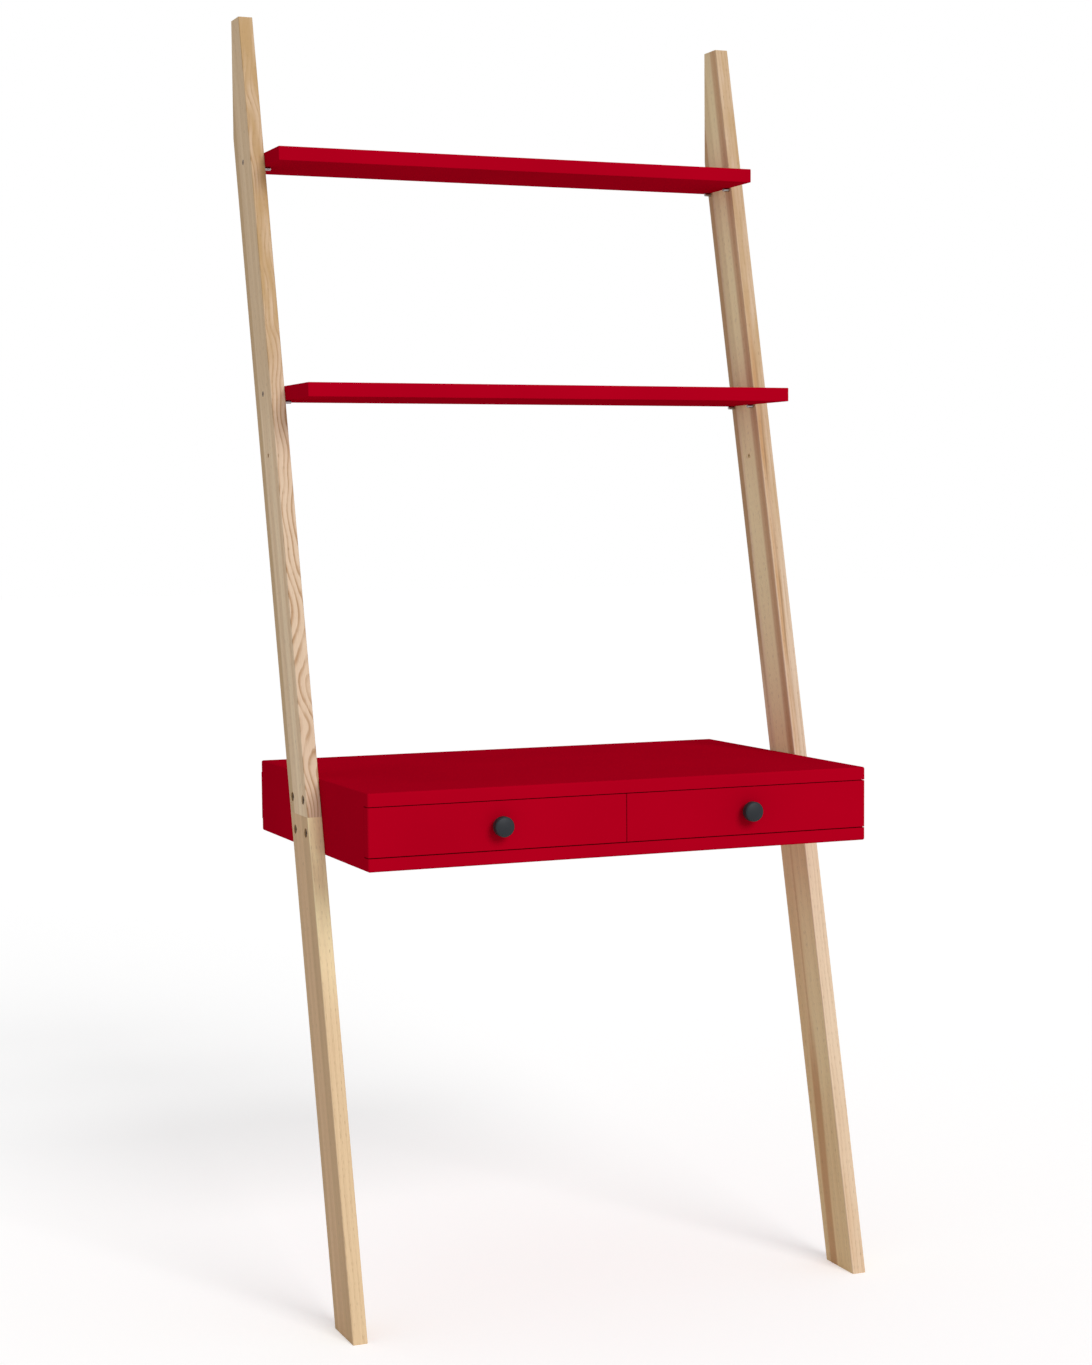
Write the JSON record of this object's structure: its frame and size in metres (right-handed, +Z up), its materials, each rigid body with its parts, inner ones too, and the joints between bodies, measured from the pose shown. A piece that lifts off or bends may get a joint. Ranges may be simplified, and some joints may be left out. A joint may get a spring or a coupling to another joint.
{
  "type": "ladder desk",
  "caption": "Ladder desk that leans on a wall: slanted wooden uprights carry a writing case with drawers on roller runners, and shallow shelves above it.",
  "frame": {"origin": "on the floor, midway between the uprights and midway between the knobs' fronts and the wall", "axes": "+Z up, +Y towards the wall, +X to the right of someone facing the desk"},
  "size_m": [0.79, 0.533, 1.834],
  "materials": {
    "ash_wood": "clear matt lacquer",
    "red_lacquer": "satin lacquer",
    "white_board": "satin melamine",
    "white_sheet": "satin lacquer",
    "beech_dowel": "raw",
    "zinc_steel": "zinc plated",
    "dark_steel": "black oxide",
    "white_runner_steel": "epoxy coat",
    "nylon_roller": "moulded",
    "anthracite_knob": "fine matt"
  },
  "bodies": {
    "desk": {"back_panel": "red_lacquer", "case_cam_bolts": "zinc_steel", "case_cams": "zinc_steel", "case_connectors": "dark_steel", "case_dowels": "beech_dowel", "centre_divider": "red_lacquer", "desk_bottom": "red_lacquer", "desk_top": "red_lacquer", "frame_bolts": "dark_steel", "frame_inserts": "zinc_steel", "left_case_runner_inner": "white_runner_steel", "left_case_runner_outer": "white_runner_steel", "leg_lower_left": "ash_wood", "leg_lower_right": "ash_wood", "post_dowels": "beech_dowel", "post_upper_left": "ash_wood", "post_upper_right": "ash_wood", "right_case_runner_inner": "white_runner_steel", "right_case_runner_outer": "white_runner_steel", "runner_screws": "zinc_steel", "shelf_lower": "red_lacquer", "shelf_pins": "zinc_steel", "shelf_screws": "dark_steel", "shelf_upper": "red_lacquer", "side_panel_left": "red_lacquer", "side_panel_right": "red_lacquer"},
    "left_drawer": {"left_drawer_back": "white_board", "left_drawer_bottom": "white_sheet", "left_drawer_cams": "zinc_steel", "left_drawer_dowels": "beech_dowel", "left_drawer_front": "red_lacquer", "left_drawer_runner_inner": "white_runner_steel", "left_drawer_runner_outer": "white_runner_steel", "left_drawer_screws": "zinc_steel", "left_drawer_side_inner": "white_board", "left_drawer_side_outer": "white_board", "left_knob": "anthracite_knob", "left_knob_screw": "zinc_steel"},
    "right_drawer": {"right_drawer_back": "white_board", "right_drawer_bottom": "white_sheet", "right_drawer_cams": "zinc_steel", "right_drawer_dowels": "beech_dowel", "right_drawer_front": "red_lacquer", "right_drawer_runner_inner": "white_runner_steel", "right_drawer_runner_outer": "white_runner_steel", "right_drawer_screws": "zinc_steel", "right_drawer_side_inner": "white_board", "right_drawer_side_outer": "white_board", "right_knob": "anthracite_knob", "right_knob_screw": "zinc_steel"},
    "left_front_roller_inner": {"left_front_roller_inner": "nylon_roller"},
    "left_front_roller_outer": {"left_front_roller_outer": "nylon_roller"},
    "left_rear_roller_inner": {"left_rear_roller_inner": "nylon_roller"},
    "left_rear_roller_outer": {"left_rear_roller_outer": "nylon_roller"},
    "right_front_roller_inner": {"right_front_roller_inner": "nylon_roller"},
    "right_front_roller_outer": {"right_front_roller_outer": "nylon_roller"},
    "right_rear_roller_inner": {"right_rear_roller_inner": "nylon_roller"},
    "right_rear_roller_outer": {"right_rear_roller_outer": "nylon_roller"}
  },
  "joints": [
    {"name": "left_drawer_slide", "type": "slide", "parent": "desk", "child": "left_drawer", "axis": [0, -1, 0], "range_m": [0, 0.34]},
    {"name": "right_drawer_slide", "type": "slide", "parent": "desk", "child": "right_drawer", "axis": [0, -1, 0], "range_m": [0, 0.34]},
    {"name": "left_front_roller_outer_spin", "type": "hinge", "parent": "desk", "child": "left_front_roller_outer", "pos_m": [-0.3495, -0.2151, 0.6823], "axis": [1, 0, 0], "continuous": true},
    {"name": "left_rear_roller_outer_spin", "type": "hinge", "parent": "left_drawer", "child": "left_rear_roller_outer", "pos_m": [-0.3495, 0.2015, 0.6833], "axis": [1, 0, 0], "continuous": true},
    {"name": "left_front_roller_inner_spin", "type": "hinge", "parent": "desk", "child": "left_front_roller_inner", "pos_m": [-0.0155, -0.2151, 0.6823], "axis": [1, 0, 0], "continuous": true},
    {"name": "left_rear_roller_inner_spin", "type": "hinge", "parent": "left_drawer", "child": "left_rear_roller_inner", "pos_m": [-0.0155, 0.2015, 0.6833], "axis": [1, 0, 0], "continuous": true},
    {"name": "right_front_roller_outer_spin", "type": "hinge", "parent": "desk", "child": "right_front_roller_outer", "pos_m": [0.3495, -0.2151, 0.6823], "axis": [1, 0, 0], "continuous": true},
    {"name": "right_rear_roller_outer_spin", "type": "hinge", "parent": "right_drawer", "child": "right_rear_roller_outer", "pos_m": [0.3495, 0.2015, 0.6833], "axis": [1, 0, 0], "continuous": true},
    {"name": "right_front_roller_inner_spin", "type": "hinge", "parent": "desk", "child": "right_front_roller_inner", "pos_m": [0.0155, -0.2151, 0.6823], "axis": [1, 0, 0], "continuous": true},
    {"name": "right_rear_roller_inner_spin", "type": "hinge", "parent": "right_drawer", "child": "right_rear_roller_inner", "pos_m": [0.0155, 0.2015, 0.6833], "axis": [1, 0, 0], "continuous": true}
  ],
  "couplings": [
    {"joint": "left_front_roller_outer_spin", "follows": "left_drawer_slide", "rad_per_m": 142.86},
    {"joint": "left_rear_roller_outer_spin", "follows": "left_drawer_slide", "rad_per_m": 125},
    {"joint": "left_front_roller_inner_spin", "follows": "left_drawer_slide", "rad_per_m": 142.86},
    {"joint": "left_rear_roller_inner_spin", "follows": "left_drawer_slide", "rad_per_m": 125},
    {"joint": "right_front_roller_outer_spin", "follows": "right_drawer_slide", "rad_per_m": 142.86},
    {"joint": "right_rear_roller_outer_spin", "follows": "right_drawer_slide", "rad_per_m": 125},
    {"joint": "right_front_roller_inner_spin", "follows": "right_drawer_slide", "rad_per_m": 142.86},
    {"joint": "right_rear_roller_inner_spin", "follows": "right_drawer_slide", "rad_per_m": 125}
  ]
}
